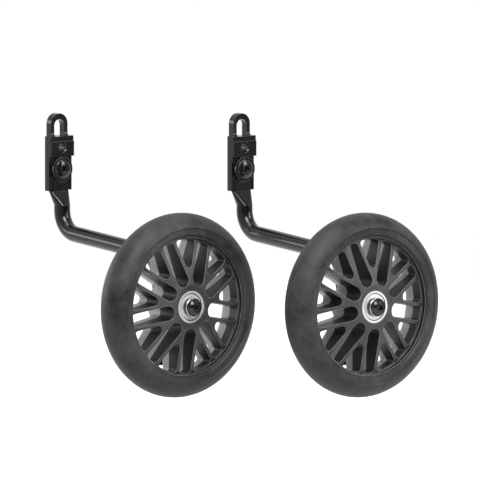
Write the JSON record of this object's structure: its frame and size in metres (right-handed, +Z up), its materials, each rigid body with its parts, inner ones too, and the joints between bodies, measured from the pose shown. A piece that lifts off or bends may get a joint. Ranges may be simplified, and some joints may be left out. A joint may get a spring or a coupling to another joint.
{
  "type": "bicycle training wheels",
  "caption": "Bolt-on bicycle training wheels: slotted axle bracket, cranked steel tube arm with a height slot, and a smooth solid tyre on a Y-spoked rim with ball bearings.",
  "frame": {"origin": "centre of the bicycle's axle in the left unit's slot, on the back face of that unit's bracket", "axes": "+Z up; the axles lie along Y, and the units reach out along -Y from bracket to wheel; +X along the bicycle"},
  "size_m": [0.2574, 0.2697, 0.211],
  "materials": {
    "frame_paint": "gloss",
    "black_bolt": "satin",
    "bright_steel": "polished",
    "bearing_steel": "ground",
    "cage_steel": "satin",
    "plain_steel": "zinc plated",
    "insert_nylon": "matte",
    "rim_plastic": "satin",
    "tyre_rubber": "matte"
  },
  "bodies": {
    "mounting_arms": {"left_bracket": "frame_paint", "left_arm": "frame_paint", "left_bracket_bolt": "black_bolt", "right_bracket": "frame_paint", "right_arm": "frame_paint", "right_bracket_bolt": "black_bolt"},
    "left_carriage": {"left_axle_bolt": "black_bolt", "left_front_collar": "bright_steel", "left_rear_collar": "bright_steel", "left_bearing_spacer": "plain_steel", "left_axle_washer": "plain_steel", "left_axle_nut": "plain_steel", "left_locking_insert": "insert_nylon", "left_front_bearing_inner_ring": "bearing_steel", "left_rear_bearing_inner_ring": "bearing_steel"},
    "left_wheel": {"left_tyre": "tyre_rubber", "left_rim": "rim_plastic", "left_front_bearing_outer_ring": "bearing_steel", "left_rear_bearing_outer_ring": "bearing_steel", "left_front_bearing_shields": "bearing_steel", "left_rear_bearing_shields": "bearing_steel"},
    "left_ball_sets": {"left_front_bearing_balls": "bearing_steel", "left_rear_bearing_balls": "bearing_steel", "left_front_bearing_cage": "cage_steel", "left_rear_bearing_cage": "cage_steel"},
    "right_carriage": {"right_axle_bolt": "black_bolt", "right_front_collar": "bright_steel", "right_rear_collar": "bright_steel", "right_bearing_spacer": "plain_steel", "right_axle_washer": "plain_steel", "right_axle_nut": "plain_steel", "right_locking_insert": "insert_nylon", "right_front_bearing_inner_ring": "bearing_steel", "right_rear_bearing_inner_ring": "bearing_steel"},
    "right_wheel": {"right_tyre": "tyre_rubber", "right_rim": "rim_plastic", "right_front_bearing_outer_ring": "bearing_steel", "right_rear_bearing_outer_ring": "bearing_steel", "right_front_bearing_shields": "bearing_steel", "right_rear_bearing_shields": "bearing_steel"},
    "right_ball_sets": {"right_front_bearing_balls": "bearing_steel", "right_rear_bearing_balls": "bearing_steel", "right_front_bearing_cage": "cage_steel", "right_rear_bearing_cage": "cage_steel"}
  },
  "joints": [
    {"name": "left_height_adjust", "type": "slide", "parent": "mounting_arms", "child": "left_carriage", "axis": [0, 0, 1], "range_m": [-0.039, 0]},
    {"name": "left_wheel_spin", "type": "hinge", "parent": "left_carriage", "child": "left_wheel", "pos_m": [0, -0.1565, -0.129], "axis": [0, -1, 0], "continuous": true},
    {"name": "left_ball_roll", "type": "hinge", "parent": "left_carriage", "child": "left_ball_sets", "pos_m": [0, -0.1565, -0.129], "axis": [0, -1, 0], "continuous": true},
    {"name": "right_height_adjust", "type": "slide", "parent": "mounting_arms", "child": "right_carriage", "axis": [0, 0, 1], "range_m": [-0.039, 0]},
    {"name": "right_wheel_spin", "type": "hinge", "parent": "right_carriage", "child": "right_wheel", "pos_m": [0.1124, -0.2456, -0.129], "axis": [0, -1, 0], "continuous": true},
    {"name": "right_ball_roll", "type": "hinge", "parent": "right_carriage", "child": "right_ball_sets", "pos_m": [0.1124, -0.2456, -0.129], "axis": [0, -1, 0], "continuous": true}
  ],
  "couplings": [
    {"joint": "left_ball_roll", "follows": "left_wheel_spin", "ratio": 0.6315},
    {"joint": "right_ball_roll", "follows": "right_wheel_spin", "ratio": 0.6315}
  ]
}
